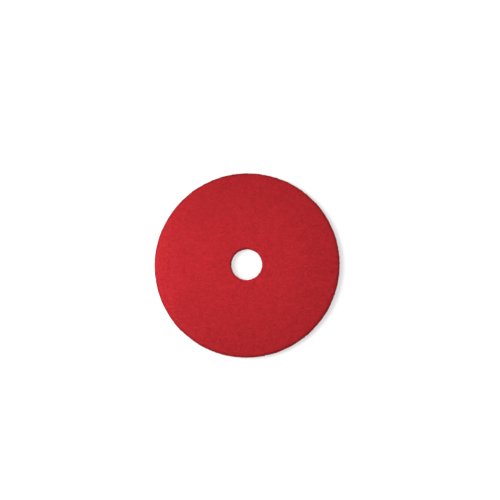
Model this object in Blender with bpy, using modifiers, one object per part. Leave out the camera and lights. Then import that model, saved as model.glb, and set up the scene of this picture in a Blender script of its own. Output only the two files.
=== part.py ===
"""Floor pad for a rotary floor machine: a thick red disc of bonded fibre web with an open centre hole.

Metres, +Z up. The origin is the centre of the lower face, which lies on the floor.
The web is one bonded disc in three strata: two coated outer faces and a lofty core between them.
"""

from math import cos, pi, radians, sin

import bmesh
import bpy

# Driving sizes.
PAD_DIAMETER = 0.508
CENTRE_HOLE_DIAMETER = 0.0855
PAD_THICKNESS = 0.0254
COAT_DEPTH = 0.006  # how deep the sprayed coat soaks into each face

# The cutting die squeezes the web, so each face rolls down towards its cut edges.
OUTER_ROLL_WIDTH = 0.016
OUTER_ROLL_DROP = 0.0035
HOLE_ROLL_WIDTH = 0.006
HOLE_ROLL_DROP = 0.002
ROLL_STEPS = 6

STRATA_GAP = 0.0003  # clear space between one stratum and the next
SEGMENTS = 96  # around the disc
MERGE_DISTANCE = 0.00001
SHARP_ANGLE = radians(40)

COATED_RED = (0.46, 0.018, 0.024)
CORE_RED = (0.40, 0.015, 0.02)


def clear_scene():
    for obj in list(bpy.data.objects):
        bpy.data.objects.remove(obj, do_unlink=True)


def make_collection(name):
    collection = bpy.data.collections.new(name)
    bpy.context.scene.collection.children.link(collection)
    return collection


def make_material(name, colour, roughness):
    material = bpy.data.materials.new(name)
    material.use_nodes = True
    shader = material.node_tree.nodes["Principled BSDF"]
    shader.inputs["Base Color"].default_value = (*colour, 1.0)
    shader.inputs["Roughness"].default_value = roughness
    shader.inputs["Metallic"].default_value = 0.0
    return material


def rolled_edge(edge_x, direction, width, drop, face_z):
    """Points of a quarter ellipse that leads from the flat face down to a cut edge.

    direction is +1 for the outer edge and -1 for the hole, and drop is negative on the lower face.
    """
    points = []
    for step in range(ROLL_STEPS + 1):
        angle = (pi / 2) * step / ROLL_STEPS
        x = edge_x - direction * width * (1 - sin(angle))
        z = face_z - drop * (1 - cos(angle))
        points.append((x, z))
    return points


def face_profile(face_z, inner_z, up):
    """Outline of a coated face, from its hole to its outer edge and back along its inner side.

    up is +1 for the upper face and -1 for the lower one, whose outline is turned round.
    """
    outer_x = PAD_DIAMETER / 2
    hole_x = CENTRE_HOLE_DIAMETER / 2
    hole_roll = rolled_edge(hole_x, -1, HOLE_ROLL_WIDTH, up * HOLE_ROLL_DROP, face_z)
    outer_roll = rolled_edge(outer_x, 1, OUTER_ROLL_WIDTH, up * OUTER_ROLL_DROP, face_z)
    outline = hole_roll[::-1] + outer_roll + [(outer_x, inner_z), (hole_x, inner_z)]
    return outline if up > 0 else outline[::-1]


def core_profile(bottom_z, top_z):
    outer_x = PAD_DIAMETER / 2
    hole_x = CENTRE_HOLE_DIAMETER / 2
    return [(hole_x, top_z), (outer_x, top_z), (outer_x, bottom_z), (hole_x, bottom_z)]


def turned_ring(name, profile, material, collection):
    """A closed outline in the XZ plane, turned once round Z."""
    mesh = bpy.data.meshes.new(name)
    outline = bmesh.new()
    corners = [outline.verts.new((x, 0.0, z)) for x, z in profile]
    for first, second in zip(corners, corners[1:] + corners[:1]):
        outline.edges.new((first, second))
    outline.to_mesh(mesh)
    outline.free()
    ring = bpy.data.objects.new(name, mesh)
    collection.objects.link(ring)
    screw = ring.modifiers.new("turn", "SCREW")
    screw.axis = "Z"
    screw.angle = 2 * pi
    screw.steps = SEGMENTS
    screw.render_steps = SEGMENTS
    screw.use_merge_vertices = True
    screw.merge_threshold = MERGE_DISTANCE
    graph = bpy.context.evaluated_depsgraph_get()
    turned = bpy.data.meshes.new_from_object(ring.evaluated_get(graph))
    ring.modifiers.remove(screw)
    ring.data = turned
    turned.name = name
    turned.shade_smooth()
    turned.set_sharp_from_angle(angle=SHARP_ANGLE)
    turned.materials.clear()
    turned.materials.append(material)
    return ring


def build_lower_face(collection, material):
    return turned_ring("lower_face_web", face_profile(0.0, COAT_DEPTH, -1), material, collection)


def build_core(collection, material):
    bottom_z = COAT_DEPTH + STRATA_GAP
    top_z = PAD_THICKNESS - COAT_DEPTH - STRATA_GAP
    return turned_ring("core_web", core_profile(bottom_z, top_z), material, collection)


def build_upper_face(collection, material):
    inner_z = PAD_THICKNESS - COAT_DEPTH
    return turned_ring("upper_face_web", face_profile(PAD_THICKNESS, inner_z, 1), material, collection)


clear_scene()
pad = make_collection("floor_pad")
coated_web = make_material("coated_web", COATED_RED, 0.85)
open_web = make_material("open_web", CORE_RED, 0.92)
build_lower_face(pad, coated_web)
build_core(pad, open_web)
build_upper_face(pad, coated_web)
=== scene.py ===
import math

import bmesh
import bpy
from mathutils import Matrix, Vector


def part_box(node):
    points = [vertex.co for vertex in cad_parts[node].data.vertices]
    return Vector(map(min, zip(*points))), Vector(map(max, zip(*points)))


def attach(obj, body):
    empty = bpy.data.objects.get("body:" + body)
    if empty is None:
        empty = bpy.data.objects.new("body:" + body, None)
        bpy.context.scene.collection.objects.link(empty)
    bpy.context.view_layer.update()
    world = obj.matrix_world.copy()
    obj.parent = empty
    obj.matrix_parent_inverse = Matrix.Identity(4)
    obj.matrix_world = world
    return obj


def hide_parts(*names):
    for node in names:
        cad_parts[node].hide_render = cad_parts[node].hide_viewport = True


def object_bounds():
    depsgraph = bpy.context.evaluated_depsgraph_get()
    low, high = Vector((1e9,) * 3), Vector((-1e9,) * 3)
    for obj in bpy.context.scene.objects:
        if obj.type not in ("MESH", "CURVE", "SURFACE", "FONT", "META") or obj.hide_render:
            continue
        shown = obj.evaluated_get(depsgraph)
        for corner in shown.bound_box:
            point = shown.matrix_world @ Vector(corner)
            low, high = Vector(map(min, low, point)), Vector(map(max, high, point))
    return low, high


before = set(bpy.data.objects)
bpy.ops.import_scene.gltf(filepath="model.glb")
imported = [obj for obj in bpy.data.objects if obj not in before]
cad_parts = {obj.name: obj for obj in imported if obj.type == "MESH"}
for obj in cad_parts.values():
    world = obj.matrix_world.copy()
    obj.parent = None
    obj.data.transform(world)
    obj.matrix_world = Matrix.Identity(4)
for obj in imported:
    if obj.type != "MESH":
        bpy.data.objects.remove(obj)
cad_low, cad_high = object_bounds()

# ---------------------------------------------------------------------------------------------
# The matted web. A floor pad is one thick disc of crimped fibre, laid by air, bonded with resin and
# cut out by a round die. Its skin is made in one go from the frame's three strata, so no seam shows
# between them, and each stratum then takes its own slice of it.

STRATA = ("lower_face_web", "core_web", "upper_face_web")
CELL = 0.002  # spacing of the skin's points
BOND_OVERLAP = 0.0005  # how far the strata run into each other before they are made one
MERGE_DISTANCE = 0.00001
PAD_RADIUS = cad_high.x
PAD_HEIGHT = cad_high.z - cad_low.z
LOW_JOINT = (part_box("lower_face_web")[1].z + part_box("core_web")[0].z) / 2
HIGH_JOINT = (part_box("core_web")[1].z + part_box("upper_face_web")[0].z) / 2
HOLE_RADIUS = min(math.hypot(v.co.x, v.co.y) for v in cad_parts["core_web"].data.vertices)

# Each unevenness has a depth in metres, and a fineness: how many of it come in a metre.
SKIN_SINK = 0.0008  # the matted skin lies this far under the pad's true outline
SWELL_DEPTH = 0.0007  # the faces aren't quite even
SWELL_FINENESS = 17.0
EDGE_WAVE = 0.0028  # nor does the die cut the walls quite even
WAVE_FINENESS = 90.0
CLUMP_DEPTH = 0.0004
CLUMP_FINENESS = 240.0
PORE_DEPTH = 0.0006
PORE_FINENESS = 620.0
NOISE_SPAN = (0.3, 0.7)  # most of a noise lies between these
PORE_SPAN = (0.5, 0.72)
UPRIGHT_SPAN = (0.3, 0.7)  # from a wall's direction to a face's

# "sink" says how much painted shade the web has at a point: 0 is the full colour, 1 the shaded colour of
# its depths.
# painted shade on the skin, which stands for the web deep under the loose fibres, and more of it in
# clumps and pores
SKIN_PAINTED_SHADE = 0.4
RELIEF_PAINTED_SHADE = 0.25
PRESS_AND_SHADE_WIDTH = 0.009  # the die also presses the web together along its cut edges; over this width the rim and the hole are darker, partly for that and partly as painted shade of the rounded edge and the wall
# painted shade at the rim and at the hole, partly standing for the die's pressing
RIM_PRESS_AND_PAINTED_SHADE = 0.7
HOLE_PRESS_AND_PAINTED_SHADE = 0.5
PAINTED_FALLOFF_SHADE = 0.16  # painted shade: the lamps' light falls off towards the rim, and that falloff is painted into the colour
PAINTED_FALLOFF_START = 0.4 * PAD_RADIUS
PAINTED_FALLOFF_END = 0.9 * PAD_RADIUS


class Out:
    """A node's output. Sums written with it add their Math nodes to its tree."""

    def __init__(self, builder, socket):
        self.builder = builder
        self.socket = socket

    def __add__(self, other):
        return self.builder.sum("ADD", self, other)

    def __radd__(self, other):
        return self.builder.sum("ADD", other, self)

    def __sub__(self, other):
        return self.builder.sum("SUBTRACT", self, other)

    def __rsub__(self, other):
        return self.builder.sum("SUBTRACT", other, self)

    def __mul__(self, other):
        return self.builder.sum("MULTIPLY", self, other)

    def __rmul__(self, other):
        return self.builder.sum("MULTIPLY", other, self)


class Made:
    """A node just added. Its outputs are read by name or by place."""

    def __init__(self, builder, node):
        self.builder = builder
        self.node = node

    def __getitem__(self, name):
        shown = [s for s in self.node.outputs if s.enabled]
        chosen = shown[name] if isinstance(name, int) else next(s for s in shown if s.name == name)
        return Out(self.builder, chosen)


class Builder:
    """Adds nodes to one tree."""

    def __init__(self, tree):
        self.tree = tree

    def node(self, kind, settings=None, sockets=None):
        made = self.tree.nodes.new(kind)
        for name, value in (settings or {}).items():
            setattr(made, name, value)
        for name, value in (sockets or {}).items():
            shown = [s for s in made.inputs if s.enabled]
            socket = shown[name] if isinstance(name, int) else next(s for s in shown if s.name == name)
            self.feed(socket, value)
        return Made(self, made)

    def feed(self, socket, value):
        if isinstance(value, Out):
            self.tree.links.new(value.socket, socket)
        else:
            socket.default_value = value

    def sum(self, operation, *values):
        return self.node("ShaderNodeMath", {"operation": operation}, dict(enumerate(values)))[0]

    def vector(self, operation, *values):
        return self.node("ShaderNodeVectorMath", {"operation": operation}, dict(enumerate(values)))[0]

    def length(self, vector):
        return self.node("ShaderNodeVectorMath", {"operation": "LENGTH"}, {0: vector})["Value"]

    def scaled(self, vector, length):
        sockets = {"Vector": vector, "Scale": length}
        return self.node("ShaderNodeVectorMath", {"operation": "SCALE"}, sockets)[0]

    def parts(self, vector):
        return self.node("ShaderNodeSeparateXYZ", None, {0: vector})

    def joined(self, x, y, z):
        return self.node("ShaderNodeCombineXYZ", None, {0: x, 1: y, 2: z})[0]

    def between(self, value, low, high):
        """0 where value is at or below low, 1 where it is at or above high, and smooth between."""
        settings = {"interpolation_type": "SMOOTHSTEP"}
        sockets = {"Value": value, "From Min": low, "From Max": high}
        return self.node("ShaderNodeMapRange", settings, sockets)[0]

    def noise(self, place, scale, detail=2.0):
        sockets = {"Vector": place, "Scale": scale, "Detail": detail}
        return self.node("ShaderNodeTexNoise", None, sockets)

    def stray(self, place, scale):
        """A direction that wanders from place to place."""
        colour = self.noise(place, scale, 1.0)["Color"]
        return self.vector("SUBTRACT", colour, (0.5, 0.5, 0.5))

    def random(self, low, high, seed):
        settings = {"data_type": "FLOAT_VECTOR" if isinstance(low, tuple) else "FLOAT"}
        sockets = {"Min": low, "Max": high, "Seed": seed}
        return self.node("FunctionNodeRandomValue", settings, sockets)["Value"]

    def stored(self, geometry, name, value, data_type="FLOAT", domain="POINT"):
        settings = {"data_type": data_type, "domain": domain}
        sockets = {"Geometry": geometry, "Name": name, "Value": value}
        return self.node("GeometryNodeStoreNamedAttribute", settings, sockets)["Geometry"]

    def named(self, name, data_type="FLOAT"):
        settings = {"data_type": data_type}
        return self.node("GeometryNodeInputNamedAttribute", settings, {"Name": name})["Attribute"]


def new_tree(name, inputs):
    """A Geometry Nodes tree with these named inputs, and one output."""
    tree = bpy.data.node_groups.new(name, "GeometryNodeTree")
    tree.interface.new_socket("Body", in_out="INPUT", socket_type="NodeSocketGeometry")
    for label, kind in inputs.items():
        tree.interface.new_socket(label, in_out="INPUT", socket_type="NodeSocket" + kind)
    tree.interface.new_socket("Body", in_out="OUTPUT", socket_type="NodeSocketGeometry")
    return tree


def ended(builder, geometry):
    """The tree, with this geometry as its output."""
    out = builder.node("NodeGroupOutput").node
    builder.tree.links.new(geometry.socket, out.inputs[0])
    return builder.tree


def worked(obj, name, tree, values):
    """The object's mesh after a tree has worked on it with these input values."""
    nodes = obj.modifiers.new(tree.name, "NODES")
    nodes.node_group = tree
    for item in tree.interface.items_tree:
        if item.in_out == "INPUT" and item.name in values:
            nodes[item.identifier] = values[item.name]
    mesh = evaluated_mesh(obj, name)
    obj.modifiers.remove(nodes)
    return mesh


def evaluated_mesh(obj, name):
    graph = bpy.context.evaluated_depsgraph_get()
    mesh = bpy.data.meshes.new_from_object(obj.evaluated_get(graph))
    mesh.name = name
    return mesh


def object_of(mesh):
    obj = bpy.data.objects.new(mesh.name, mesh)
    bpy.context.scene.collection.objects.link(obj)
    return obj


def plain_pad():
    """The three strata run into each other and made one body with evenly spaced points."""
    shape = bmesh.new()
    for node in STRATA:
        first = len(shape.verts)
        shape.from_mesh(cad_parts[node].data)
        shape.verts.ensure_lookup_table()
        low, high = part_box(node)
        for vertex in shape.verts[first:]:
            if node != STRATA[0] and vertex.co.z < low.z + MERGE_DISTANCE:
                vertex.co.z -= BOND_OVERLAP
            if node != STRATA[2] and vertex.co.z > high.z - MERGE_DISTANCE:
                vertex.co.z += BOND_OVERLAP
    bmesh.ops.remove_doubles(shape, verts=shape.verts, dist=MERGE_DISTANCE)
    mesh = bpy.data.meshes.new("plain_pad")
    shape.to_mesh(mesh)
    shape.free()
    pad = object_of(mesh)
    remesh = pad.modifiers.new("even points", "REMESH")
    remesh.mode = "VOXEL"
    remesh.voxel_size = CELL
    remesh.use_smooth_shade = True
    pad.data = evaluated_mesh(pad, "plain_pad")
    pad.modifiers.remove(remesh)
    return pad


def matting_tree():
    """Moves the plain pad's points in and out, remembers where they were, and stores painted shade from
    how deep they went and from the rim and hole.
    """
    inputs = dict.fromkeys(("Sink", "Swell", "Edge Wave", "Clumps", "Pores"), "Float")
    tree = new_tree("matted_skin", inputs)
    web = Builder(tree)
    given = web.node("NodeGroupInput")
    place = web.node("GeometryNodeInputPosition")[0]
    normal = web.node("GeometryNodeInputNormal")[0]
    upright = web.sum("ABSOLUTE", web.parts(normal)["Z"])
    steep = 1.0 - web.between(upright, *UPRIGHT_SPAN)
    swell = given["Swell"] * web.between(web.noise(place, SWELL_FINENESS, 1.0)[0], *NOISE_SPAN)
    wave = given["Edge Wave"] * (web.noise(place, WAVE_FINENESS, 3.0)[0] - 0.5) * steep
    clump = web.between(web.noise(place, CLUMP_FINENESS, 2.0)[0], *NOISE_SPAN)
    pore = web.between(web.noise(place, PORE_FINENESS, 1.0)[0], *PORE_SPAN)
    matting = given["Clumps"] * clump + given["Pores"] * pore
    inwards = web.scaled(normal, wave - swell - given["Sink"] - matting)
    body = web.stored(given["Body"], "plain", place, "FLOAT_VECTOR")
    body = web.stored(body, "outward", normal, "FLOAT_VECTOR")
    # painted shade: the skin is darker, and darker still where it lies deeper in clumps and pores
    sink = SKIN_PAINTED_SHADE + RELIEF_PAINTED_SHADE * web.between(matting, 0.0, CLUMP_DEPTH + PORE_DEPTH)
    body = web.stored(body, "sink", sink + press_and_painted_shade(web, place))
    moved = web.node("GeometryNodeSetPosition", None, {"Geometry": body, "Offset": inwards})[0]
    return ended(web, moved)


def from_axis(web, place):
    """How far a place is from the pad's axis."""
    at = web.parts(place)
    return web.length(web.joined(at["X"], at["Y"], 0.0))


def press_and_painted_shade(web, place):
    """How much darker the web is painted: a little towards the rim as painted falloff of the lamps'
    light, and most at a cut, partly because the die pressed it and partly as painted shade of the
    rounded edge and the wall.
    """
    reach = from_axis(web, place)
    painted_falloff = PAINTED_FALLOFF_SHADE * web.between(reach, PAINTED_FALLOFF_START, PAINTED_FALLOFF_END)
    rim = RIM_PRESS_AND_PAINTED_SHADE * web.between(reach, PAD_RADIUS - PRESS_AND_SHADE_WIDTH, PAD_RADIUS)
    hole = 1.0 - web.between(reach, HOLE_RADIUS, HOLE_RADIUS + PRESS_AND_SHADE_WIDTH / 2)
    return painted_falloff + rim + HOLE_PRESS_AND_PAINTED_SHADE * hole


pad = plain_pad()
matted_skin = matting_tree()
unevenness = {"Swell": SWELL_DEPTH, "Edge Wave": EDGE_WAVE}
relief = {"Sink": SKIN_SINK, "Clumps": CLUMP_DEPTH, "Pores": PORE_DEPTH}
guide = object_of(worked(pad, "guide", matted_skin, unevenness))  # what the loose fibres are laid on
pad.data = worked(pad, "matted_pad", matted_skin, unevenness | relief)


def slice_of(body, name, low, high):
    """The part of the body between two heights, closed with flat hidden faces.

    A height that is None leaves that end as it is.
    """
    shape = bmesh.new()
    shape.from_mesh(body.data)
    hidden = shape.faces.layers.int.new("hidden")
    for height, up in ((low, -1), (high, 1)):
        if height is None:
            continue
        everything = shape.verts[:] + shape.edges[:] + shape.faces[:]
        bmesh.ops.bisect_plane(
            shape, geom=everything, plane_co=(0, 0, height), plane_no=(0, 0, up), clear_outer=True,
        )
        rims = [e for e in shape.edges if e.is_boundary]
        made = bmesh.ops.bridge_loops(shape, edges=rims)["faces"]
        for face in made:
            face[hidden] = 1
            if face.normal.z * up < 0:
                face.normal_flip()
    bmesh.ops.triangulate(shape, faces=[f for f in shape.faces if f[hidden]])
    mesh = bpy.data.meshes.new(name)
    shape.to_mesh(mesh)
    shape.free()
    return object_of(mesh)


# ---------------------------------------------------------------------------------------------
# The fibres. Crimped nylon and polyester fibres lie flat in the web in every direction, and cross
# over and under each other. Where the die cut them, short ends stand out of the rim and the hole.

FIBRE_RADIUS = 0.00019
FIBRE_SIDES = 3
FIBRE_POINTS = 6  # along each fibre, which is enough for its crimp
FIBRE_GIRTH = (0.7, 1.25)  # times that radius
FIBRE_TONE = (0.1, 0.9)  # from a dull fibre to a bright one
WALL_SEED = 40  # added to a stratum's seed for its wall fibres
CUT_END_SEED = 80  # and for its cut ends
JITTER_SEED = 3
CRIMP_DEPTH = 0.003  # how far a fibre wanders from side to side
CRIMP_FINENESS = 170.0
WEAVE_DEPTH = 0.0005  # from its lowest pass under a neighbour to its highest over one
WEAVE_FINENESS = 420.0
END_DIVE = 0.0028  # its two ends run down into the web by a quarter of this
LONGEST_OVERHANG = 0.0009  # past this it was cut off by the die

FACE_FIBRES_PER_M2 = 112000
FACE_FIBRE_LENGTH = (0.014, 0.028)
FACE_FIBRE_LIFT = (-0.0008, 0.0)  # its height over the pad's outline
CUT_MARGIN = 0.014  # this near a cut edge, more fibres are laid, because the cut takes some away

WALL_FIBRES_PER_M2 = 150000
WALL_FIBRE_LENGTH = (0.006, 0.016)
WALL_FIBRE_LIFT = (-0.0009, 0.0002)
WALL_TURNING = 0.35  # on a wall, the fibres don't turn far from level

CUT_ENDS_PER_M2 = 160000
CUT_END_LENGTH = (0.0006, 0.0030)
CUT_END_POINTS = 3
CUT_END_GIRTH = (0.6, 1.0)
CUT_END_TONE = (0.2, 0.95)
CUT_END_STRAY = (0.9, 0.9, 0.35)
CUT_END_ROOT = 0.6  # this share of its length is added inside the wall
CUT_END_BEND = 0.0008
CUT_END_BEND_FINENESS = 500.0

BURIED_PAINTED_SHADE = 0.5  # painted shade: how much darker a fibre is painted when it lies deep among the others
BURIED_SPAN = (0.0001, 0.0014)
# painted shade at a cut end's root in the wall, fading out towards its tip
CUT_END_PAINTED_SHADE = 0.7
CUT_END_SHADE_FADE = 0.4
CLOUD_TONE = 0.35
CLOUD_FINENESS = 22.0

FACE_START = 0.55  # a skin point belongs to a face where its direction is at least this upright
MAP_MARGIN = 0.008  # room round the round part of the map
MAP_CORNER = 0.13  # side of the square in a corner of the map that holds every fibre's shade
MAP_FILL = 0.9  # share of that square that is used
MAP_JITTER = 0.0015  # spreads fibres of one shade over a little patch of the map


def web_tree():
    """Lays loose fibres on a slice of the matted skin, and sticks cut ends in its walls."""
    inputs = {
        "Guide": "Object",
        "Material": "Material",
        "Face Direction": "Float",
        "Face Height": "Float",
        "Face Fibres": "Float",
        "Wall Fibres": "Float",
        "Cut Ends": "Float",
        "Seed": "Int",
    }
    tree = new_tree("bonded_web", inputs)
    web = Builder(tree)
    given = web.node("NodeGroupInput")
    body = given["Body"]
    guide = web.node("GeometryNodeObjectInfo", None, {"Object": given["Guide"]})["Geometry"]
    outward_z = web.parts(web.named("outward", "FLOAT_VECTOR"))["Z"]
    showing = 1.0 - web.named("hidden")
    on_face = web.sum("GREATER_THAN", outward_z * given["Face Direction"] * showing, FACE_START)
    on_wall = web.sum("LESS_THAN", web.sum("ABSOLUTE", outward_z), FACE_START) * showing

    place = web.node("GeometryNodeInputPosition")[0]
    skin = web.stored(body, "tone", 0.5 + cloudy(web, place))
    # deep_web marks the skin, whose material gets painted shade between its fine fibres
    skin = web.stored(skin, "deep_web", 1.0)
    skin = web.stored(skin, "OFBake", unrolled(web, given["Face Height"]), "FLOAT2", "CORNER")
    face_fibres = laid_fibres(
        web, body, guide, on_face, given["Face Fibres"] * crowded(web, place), given["Seed"],
        turning=1.0, reference=(0, 1, 0), length=FACE_FIBRE_LENGTH, lift=FACE_FIBRE_LIFT,
    )
    wall_fibres = laid_fibres(
        web, body, guide, on_wall, given["Wall Fibres"], given["Seed"] + WALL_SEED,
        turning=WALL_TURNING, reference=(0, 0, 1), length=WALL_FIBRE_LENGTH, lift=WALL_FIBRE_LIFT,
    )
    ends = cut_ends(web, body, on_wall, given["Cut Ends"], given["Seed"] + CUT_END_SEED)
    joined = web.node("GeometryNodeJoinGeometry")
    for part in (ends, wall_fibres, face_fibres, skin):
        web.tree.links.new(part.socket, joined.node.inputs[0])
    whole = web.node("GeometryNodeRealizeInstances", None, {"Geometry": joined[0]})[0]
    sockets = {"Geometry": whole, "Material": given["Material"]}
    return ended(web, web.node("GeometryNodeSetMaterial", None, sockets)[0])


def crowded(web, place):
    """How many times denser the fibres are laid here: 1 on most of the face, up to 2 at a cut."""
    reach = from_axis(web, place)
    rim = web.between(reach, PAD_RADIUS - CUT_MARGIN, PAD_RADIUS)
    hole = 1.0 - web.between(reach, HOLE_RADIUS, HOLE_RADIUS + CUT_MARGIN)
    return 1.0 + rim + hole


def cloudy(web, place):
    """The dye and the resin took a little better in some places."""
    return CLOUD_TONE * (web.noise(place, CLOUD_FINENESS, 3.0)[0] - 0.5)


def unrolled(web, face_height):
    """The skin's own map: the face as seen from above, with its walls unrolled away from it.

    The outer wall is unrolled outwards, and the hole's inwards. The hidden faces lie apart, small,
    in the far corner.
    """
    plain = web.parts(web.named("plain", "FLOAT_VECTOR"))
    flat = web.joined(plain["X"], plain["Y"], 0.0)
    reach = web.length(flat)
    depth = web.sum("ABSOLUTE", plain["Z"] - face_height)
    outer = web.sum("GREATER_THAN", reach, (PAD_RADIUS + HOLE_RADIUS) / 2)
    stretched = reach + depth * (outer * 2.0 - 1.0)
    span = 2 * (PAD_RADIUS + PAD_HEIGHT / 2 + MAP_MARGIN)
    shown = web.scaled(web.vector("NORMALIZE", flat), stretched * (1 / span))
    hidden = web.scaled(flat, MAP_CORNER / 2 / PAD_RADIUS * MAP_FILL)
    hidden = web.vector("ADD", hidden, (0.5 - MAP_CORNER / 2, 0.5 - MAP_CORNER / 2, 0.0))
    sockets = {"Factor": web.named("hidden"), "A": shown, "B": hidden}
    mixed = web.node("ShaderNodeMix", {"data_type": "VECTOR"}, sockets)["Result"]
    return web.vector("ADD", mixed, (0.5, 0.5, 0.0))


def laid_fibres(web, body, guide, chosen, density, seed, turning, reference, length, lift):
    """Crimped fibres that follow the pad's surface. turning is how far they turn from level, up to 1."""
    settings = {"distribute_method": "RANDOM"}
    sockets = {"Mesh": body, "Selection": chosen, "Density": density, "Seed": seed}
    points = web.node("GeometryNodeDistributePointsOnFaces", settings, sockets)["Points"]
    up = web.vector("NORMALIZE", web.named("outward", "FLOAT_VECTOR"))
    side = web.vector("NORMALIZE", web.vector("CROSS_PRODUCT", reference, up))
    other = web.vector("CROSS_PRODUCT", up, side)
    angle = web.random(0.0, 2 * math.pi, seed + 1)
    first = web.scaled(side, web.sum("COSINE", angle))
    second = web.scaled(other, web.sum("SINE", angle) * turning)
    along = web.vector("NORMALIZE", web.vector("ADD", first, second))
    points = web.stored(points, "root", web.node("GeometryNodeInputPosition")[0], "FLOAT_VECTOR")
    points = web.stored(points, "along", along, "FLOAT_VECTOR")
    points = web.stored(points, "across", web.vector("CROSS_PRODUCT", up, along), "FLOAT_VECTOR")
    points = web.stored(points, "reach", web.random(length[0], length[1], seed + 2))
    points = web.stored(points, "bend", web.random(-1.0, 1.0, seed + 3))
    points = web.stored(points, "lift", web.random(lift[0], lift[1], seed + 4))
    points = web.stored(points, "tone", web.random(FIBRE_TONE[0], FIBRE_TONE[1], seed + 5))
    points = web.stored(points, "girth", web.random(FIBRE_GIRTH[0], FIBRE_GIRTH[1], seed + 6))
    laid = threads(web, points, FIBRE_POINTS)

    step = web.node("GeometryNodeSplineParameter")["Factor"] - 0.5
    reach = web.named("reach")
    run = web.scaled(web.named("along", "FLOAT_VECTOR"), reach * step)
    bow = web.scaled(web.named("across", "FLOAT_VECTOR"), reach * web.named("bend") * step * step)
    straight = web.vector("ADD", web.named("root", "FLOAT_VECTOR"), run)
    bowed = web.vector("ADD", straight, bow)
    path = web.vector("ADD", bowed, web.scaled(web.stray(bowed, CRIMP_FINENESS), CRIMP_DEPTH))
    sockets = {0: guide, "Sample Position": path}
    nearest = web.node("GeometryNodeProximity", {"target_element": "FACES"}, sockets)
    out = web.vector("NORMALIZE", web.named("outward", "FLOAT_VECTOR"))
    past = web.vector("SUBTRACT", path, nearest["Position"])
    rise = web.node("ShaderNodeVectorMath", {"operation": "DOT_PRODUCT"}, {0: past, 1: out})["Value"]
    overhang = web.vector("SUBTRACT", past, web.scaled(out, rise))
    weave = (web.noise(path, WEAVE_FINENESS, 0.0)[0] - 0.5) * WEAVE_DEPTH
    height = web.named("lift") + weave - END_DIVE * step * step
    off_skin = web.vector("ADD", overhang, web.scaled(out, height))
    settled = off_floor(web, web.vector("ADD", nearest["Position"], off_skin))
    buried_painted_shade = BURIED_PAINTED_SHADE * web.between(0.0 - height, *BURIED_SPAN)
    kept = web.stored(laid, "overshoot", web.length(overhang))
    kept = web.stored(kept, "sink", buried_painted_shade + press_and_painted_shade(web, path))
    kept = web.stored(kept, "tone", web.named("tone") + cloudy(web, path))
    kept = web.node("GeometryNodeSetPosition", None, {"Geometry": kept, "Position": settled})[0]
    trimmed = web.sum("GREATER_THAN", web.named("overshoot"), LONGEST_OVERHANG)
    sockets = {"Geometry": kept, "Selection": trimmed}
    kept = web.node("GeometryNodeDeleteGeometry", {"domain": "POINT"}, sockets)[0]
    return strands(web, kept)


def cut_ends(web, body, chosen, density, seed):
    """Short straight ends that the die left standing out of the cut walls."""
    settings = {"distribute_method": "RANDOM"}
    sockets = {"Mesh": body, "Selection": chosen, "Density": density, "Seed": seed}
    points = web.node("GeometryNodeDistributePointsOnFaces", settings, sockets)["Points"]
    stray = web.random(tuple(-part for part in CUT_END_STRAY), CUT_END_STRAY, seed + 1)
    along = web.vector("NORMALIZE", web.vector("ADD", web.named("outward", "FLOAT_VECTOR"), stray))
    points = web.stored(points, "root", web.node("GeometryNodeInputPosition")[0], "FLOAT_VECTOR")
    points = web.stored(points, "along", along, "FLOAT_VECTOR")
    points = web.stored(points, "reach", web.random(CUT_END_LENGTH[0], CUT_END_LENGTH[1], seed + 2))
    points = web.stored(points, "tone", web.random(CUT_END_TONE[0], CUT_END_TONE[1], seed + 3))
    points = web.stored(points, "girth", web.random(CUT_END_GIRTH[0], CUT_END_GIRTH[1], seed + 4))
    laid = threads(web, points, CUT_END_POINTS)
    along_end = web.node("GeometryNodeSplineParameter")["Factor"]
    step = along_end * (1.0 + CUT_END_ROOT) - CUT_END_ROOT
    run = web.scaled(web.named("along", "FLOAT_VECTOR"), web.named("reach") * step)
    place = web.vector("ADD", web.named("root", "FLOAT_VECTOR"), run)
    bend = web.scaled(web.stray(place, CUT_END_BEND_FINENESS), CUT_END_BEND)
    place = off_floor(web, web.vector("ADD", place, bend))
    # painted shade: darkest at the root in the wall, lighter towards the tip
    laid = web.stored(laid, "sink", CUT_END_PAINTED_SHADE - CUT_END_SHADE_FADE * step)
    laid = web.node("GeometryNodeSetPosition", None, {"Geometry": laid, "Position": place})[0]
    return strands(web, laid)


def threads(web, points, count):
    """A line of so many points at each root, which is bent afterwards."""
    line = web.node("GeometryNodeCurvePrimitiveLine", None, {"Start": (0, 0, 0), "End": (1, 0, 0)})[0]
    line = web.node("GeometryNodeResampleCurve", None, {"Curve": line, "Count": count})[0]
    laid = web.node("GeometryNodeInstanceOnPoints", None, {"Points": points, "Instance": line})[0]
    return web.node("GeometryNodeRealizeInstances", None, {"Geometry": laid})[0]


def off_floor(web, place):
    """No fibre reaches below the lower face."""
    at = web.parts(place)
    return web.joined(at["X"], at["Y"], web.sum("MAXIMUM", at["Z"], FIBRE_RADIUS))


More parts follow.
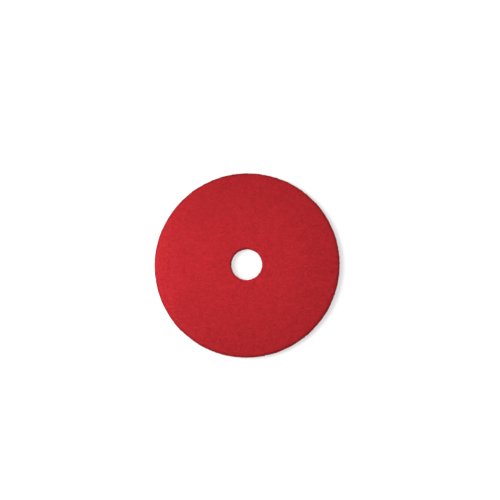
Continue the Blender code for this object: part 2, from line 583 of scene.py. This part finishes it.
def strands(web, curves):
    """Thin closed tubes along the curves. On the map each lies in a corner, placed by its shade."""
    sockets = {"Resolution": FIBRE_SIDES, "Radius": FIBRE_RADIUS}
    ring = web.node("GeometryNodeCurvePrimitiveCircle", None, sockets)[0]
    sockets = {"Curve": curves, "Radius": web.named("girth")}
    sized = web.node("GeometryNodeSetCurveRadius", None, sockets)[0]
    sockets = {"Curve": sized, "Profile Curve": ring, "Fill Caps": True}
    tubes = web.node("GeometryNodeCurveToMesh", None, sockets)[0]
    tubes = web.node("GeometryNodeSetShadeSmooth", None, {"Geometry": tubes})[0]
    tubes = web.stored(tubes, "jitter", web.random((-1, -1, 0), (1, 1, 0), JITTER_SEED), "FLOAT_VECTOR")
    shade = web.joined(web.named("tone"), web.named("sink"), 0.0)
    shade = web.vector("MINIMUM", web.vector("MAXIMUM", shade, (0, 0, 0)), (1, 1, 0))
    shade = web.scaled(shade, MAP_CORNER * MAP_FILL)
    shade = web.vector("ADD", shade, web.scaled(web.named("jitter", "FLOAT_VECTOR"), MAP_JITTER))
    edge = MAP_CORNER * (1 - MAP_FILL) / 2
    shade = web.vector("ADD", shade, (edge, edge, 0.0))
    return web.stored(tubes, "OFBake", shade, "FLOAT2", "CORNER")


bonded_web = web_tree()

# ---------------------------------------------------------------------------------------------
# The upper face: the side that the pad driver grips or, turned over, the side that polishes. Resin
# with fine abrasive was sprayed on it, so its fibres are well coated, matt and strongly red.

UPPER_SEED = 11
COATED_FIBRE = (0.63, 0.025, 0.034, 1)
# painted shade: the coated web's colour down in its pores, where light hardly reaches
COATED_SHADED = (0.27, 0.009, 0.013, 1)
COATED_ROUGHNESS = 0.72
FIBRE_SPECULAR = 0.12  # the resin is matt
BARE_TONE = 0.92  # brightness of a fibre whose tone is 0, to which its tone and the grain add
TONE_CHANGE = 0.2
GRAIN_FINENESS = 900.0  # fine abrasive grain in the resin
GRAIN_CHANGE = 0.14
GRAIN_ROUGHNESS = 0.2
RESIN_FINENESS = 1400.0
RESIN_HEIGHT = 0.35  # of the resin's bumps, beside a fine fibre's 1
BUMP_STRENGTH = 0.8
BUMP_DISTANCE = 0.0002

FINE_FIBRE_LENGTH = 0.012
FINE_FIBRE_WIDTH = 0.0012
FINE_FIBRE_TURNS = 4
FINE_FIBRE_EDGE = (0.015, 0.055)  # a line runs where a noise is this near its middle value
FINE_FIBRE_CRIMP = 0.004
FINE_CRIMP_FINENESS = 110.0
FINE_FIRST_TURN = 0.07  # of half a turn, so that no direction lies along an axis
FINE_SHIFT = 0.013  # sets one direction's pattern apart from the next one's
DEEP_PAINTED_SHADE = 0.6  # painted shade between the fine fibres
FINE_FIBRE_LIGHT = 0.75  # how much of that painted shade a fine fibre takes away


def fine_fibres(paint, place):
    """Thin wandering lines in a few directions: the fibres too fine and too deep to lay one by one."""
    crimp = paint.scaled(paint.stray(place, FINE_CRIMP_FINENESS), FINE_FIBRE_CRIMP)
    crimped = paint.vector("ADD", place, crimp)
    lines = 0.0
    for turn in range(FINE_FIBRE_TURNS):
        settings = {"vector_type": "TEXTURE"}
        sockets = {
            "Vector": crimped,
            "Location": (FINE_SHIFT * turn, 0.0, 0.0),
            "Rotation": (0.0, 0.0, math.pi * (turn / FINE_FIBRE_TURNS + FINE_FIRST_TURN)),
            "Scale": (FINE_FIBRE_LENGTH, FINE_FIBRE_WIDTH, FINE_FIBRE_WIDTH),
        }
        run = paint.node("ShaderNodeMapping", settings, sockets)["Vector"]
        off = paint.sum("ABSOLUTE", paint.noise(run, 1.0, 0.0)[0] - 0.5)
        lines = paint.sum("MAXIMUM", lines, 1.0 - paint.between(off, *FINE_FIBRE_EDGE))
    return lines


def web_material(name, fibre_colour, shaded_colour, base_roughness):
    """Red dyed resin over every fibre, a shade of its own for each, with painted shade darker down in
    the pores and between the fine fibres.
    """
    material = bpy.data.materials.new(name)
    material.use_nodes = True
    shader = material.node_tree.nodes["Principled BSDF"]
    paint = Builder(material.node_tree)
    place = paint.node("ShaderNodeTexCoord")["Object"]
    sink = paint.node("ShaderNodeAttribute", {"attribute_name": "sink"})["Fac"]
    tone = paint.node("ShaderNodeAttribute", {"attribute_name": "tone"})["Fac"]
    deep_web = paint.node("ShaderNodeAttribute", {"attribute_name": "deep_web"})["Fac"]
    grain = paint.noise(place, GRAIN_FINENESS)[0] - 0.5
    lines = fine_fibres(paint, place)
    # painted shade: how far the colour goes towards the shaded one, from sink and from between the fine
    # fibres
    depth = sink + deep_web * (DEEP_PAINTED_SHADE - FINE_FIBRE_LIGHT * lines)
    sockets = {"Factor": depth, "A": fibre_colour, "B": shaded_colour}
    mixed = paint.node("ShaderNodeMix", {"data_type": "RGBA"}, sockets)["Result"]
    brightness = BARE_TONE + TONE_CHANGE * tone + GRAIN_CHANGE * grain
    paint.feed(shader.inputs["Base Color"], paint.scaled(mixed, brightness))
    paint.feed(shader.inputs["Roughness"], base_roughness + GRAIN_ROUGHNESS * grain)
    height = RESIN_HEIGHT * paint.noise(place, RESIN_FINENESS)[0] + deep_web * lines
    sockets = {"Strength": BUMP_STRENGTH, "Distance": BUMP_DISTANCE, "Height": height}
    paint.feed(shader.inputs["Normal"], paint.node("ShaderNodeBump", None, sockets)["Normal"])
    shader.inputs["Specular IOR Level"].default_value = FIBRE_SPECULAR
    return material


def make_stratum(name, node, material, joints, direction, face_height, seed):
    """One stratum of the pad: its slice of the skin, with fibres laid on it."""
    piece = slice_of(pad, name, *joints)
    values = {
        "Guide": guide,
        "Material": material,
        "Face Direction": direction,
        "Face Height": face_height,
        "Face Fibres": FACE_FIBRES_PER_M2 * abs(direction),
        "Wall Fibres": WALL_FIBRES_PER_M2,
        "Cut Ends": CUT_ENDS_PER_M2,
        "Seed": seed,
    }
    piece.data = worked(piece, name, bonded_web, values)
    piece.data.materials.clear()
    piece.data.materials.append(material)
    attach(piece, "root")
    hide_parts(node)


coated = web_material("coated_fibre", COATED_FIBRE, COATED_SHADED, COATED_ROUGHNESS)
make_stratum(
    "upper_face", "upper_face_web", coated,
    joints=(HIGH_JOINT, None), direction=1.0, face_height=PAD_HEIGHT, seed=UPPER_SEED,
)

# ---------------------------------------------------------------------------------------------
# The core: the open, springy middle of the same web, which the sprayed coat hardly reaches. Only the
# cut rim and the wall of the centre hole show it.

CORE_SEED = 211
OPEN_FIBRE = (0.59, 0.023, 0.031, 1)
# painted shade: the core's colour down in its pores
OPEN_SHADED = (0.24, 0.008, 0.012, 1)
OPEN_ROUGHNESS = 0.78

open_web = web_material("open_fibre", OPEN_FIBRE, OPEN_SHADED, OPEN_ROUGHNESS)
make_stratum(
    "core", "core_web", open_web,
    joints=(LOW_JOINT, HIGH_JOINT), direction=0.0, face_height=HIGH_JOINT, seed=CORE_SEED,
)

# ---------------------------------------------------------------------------------------------
# The lower face. It has the same coat as the upper one, since a pad is turned over when its first
# side is worn, and its fibres lie on the floor.

LOWER_SEED = 411

make_stratum(
    "lower_face", "lower_face_web", coated,
    joints=(None, LOW_JOINT), direction=-1.0, face_height=0.0, seed=LOWER_SEED,
)
bpy.data.objects.remove(guide)
bpy.data.objects.remove(pad)

# ---------------------------------------------------------------------------------------------
# The plain pale floor that the pad lies on. It gives light of its own, as a lit table does. There is
# more of it far away, where the lamps hardly reach, and painted light in the centre hole, which lightens
# the shade there.

FLOOR_SIZE = 60.0
FLOOR_COLOUR = (0.45, 0.45, 0.45, 1)
FLOOR_ROUGHNESS = 0.9
FLOOR_SPECULAR = 0.1
FLOOR_GLOW = 0.49
FAR_GLOW = 0.75
FAR_START = 0.8  # metres from the pad's axis
FAR_END = 3.0
HOLE_PAINTED_LIGHT = 0.055
HOLE_PAINTED_LIGHT_START = 1.2 * HOLE_RADIUS
HOLE_PAINTED_LIGHT_END = 2.0 * HOLE_RADIUS


def make_floor():
    mesh = bpy.data.meshes.new("floor")
    half = FLOOR_SIZE / 2
    corners = [(-half, -half, 0), (half, -half, 0), (half, half, 0), (-half, half, 0)]
    mesh.from_pydata(corners, [], [(0, 1, 2, 3)])
    floor = object_of(mesh)
    material = bpy.data.materials.new("pale_floor")
    material.use_nodes = True
    shader = material.node_tree.nodes["Principled BSDF"]
    shader.inputs["Base Color"].default_value = FLOOR_COLOUR
    shader.inputs["Roughness"].default_value = FLOOR_ROUGHNESS
    shader.inputs["Specular IOR Level"].default_value = FLOOR_SPECULAR
    paint = Builder(material.node_tree)
    reach = paint.length(paint.node("ShaderNodeTexCoord")["Object"])
    away = paint.between(reach, FAR_START, FAR_END)
    # painted light: the floor glows more inside the centre hole, to lighten its shade
    inside = 1.0 - paint.between(reach, HOLE_PAINTED_LIGHT_START, HOLE_PAINTED_LIGHT_END)
    shader.inputs["Emission Strength"].default_value = 1.0
    glow = FLOOR_GLOW + (FAR_GLOW - FLOOR_GLOW) * away + HOLE_PAINTED_LIGHT * inside
    paint.feed(shader.inputs["Emission Color"], paint.joined(glow, glow, glow))
    mesh.materials.append(material)


make_floor()

# ---------------------------------------------------------------------------------------------
# Soft studio light: a large softbox high up and far to the left, a low weak panel close beside the
# left rim, and a pale surround that is brightest near the floor.

SOFTBOX = {"place": (-2.7, 0.3, 4.6), "size": (2.4, 2.4), "power": 236.0}
SIDE_PANEL = {"place": (-0.36, 0.0, 0.12), "size": (0.6, 0.1), "power": 0.85}
SURROUND_ABOVE = 0.72  # strength overhead
SURROUND_LEVEL = 1.0  # strength near the floor
SURROUND_TURN = 0.5  # a direction whose upward part is more than this counts as overhead


def make_lamp(name, place, size, power):
    """A rectangular lamp that shines at the middle of the pad."""
    lamp = bpy.data.lights.new(name, "AREA")
    lamp.shape = "RECTANGLE"
    lamp.size, lamp.size_y = size
    lamp.energy = power
    light = bpy.data.objects.new(name, lamp)
    bpy.context.scene.collection.objects.link(light)
    light.location = place
    light.rotation_mode = "QUATERNION"
    back = Vector(place).normalized()
    right = Vector((0, 0, 1)).cross(back).normalized()
    up = back.cross(right)
    light.rotation_quaternion = Matrix((right, up, back)).transposed().to_quaternion()
    light.visible_camera = False


def make_surround():
    world = bpy.data.worlds.new("surround")
    world.use_nodes = True
    sky = Builder(world.node_tree)
    direction = sky.parts(sky.node("ShaderNodeTexCoord")["Generated"])["Z"]
    overhead = sky.between(direction, 0.0, SURROUND_TURN)
    strength = SURROUND_LEVEL - (SURROUND_LEVEL - SURROUND_ABOVE) * overhead
    backdrop = world.node_tree.nodes["Background"]
    backdrop.inputs["Color"].default_value = (1, 1, 1, 1)
    sky.feed(backdrop.inputs["Strength"], strength)
    bpy.context.scene.world = world


make_lamp("softbox", **SOFTBOX)
make_lamp("side_panel", **SIDE_PANEL)
make_surround()

# ---------------------------------------------------------------------------------------------
# The camera looks almost straight down, a little from the front right. The pad lies a little below
# and left of the middle of the frame, small in it.

LENS = 85.0
SENSOR = 36.0
FRAME_WIDTH = 1.3660  # metres of floor across the picture
ELEVATION = math.radians(80.6)
TURN = math.radians(26.0)
LOOK_AT = Vector((0.0101, 0.0385, PAD_HEIGHT))


def make_camera():
    data = bpy.data.cameras.new("camera")
    data.lens = LENS
    data.sensor_width = SENSOR
    camera = bpy.data.objects.new("camera", data)
    bpy.context.scene.collection.objects.link(camera)
    level = math.cos(ELEVATION)
    back = Vector((math.sin(TURN) * level, -math.cos(TURN) * level, math.sin(ELEVATION)))
    right = Vector((0, 1, 0)).cross(back).normalized()
    up = back.cross(right)
    camera.rotation_mode = "QUATERNION"
    camera.rotation_quaternion = Matrix((right, up, back)).transposed().to_quaternion()
    camera.location = LOOK_AT + back * (FRAME_WIDTH * LENS / SENSOR)
    bpy.context.scene.camera = camera


make_camera()
bpy.context.scene.view_settings.view_transform = "Standard"
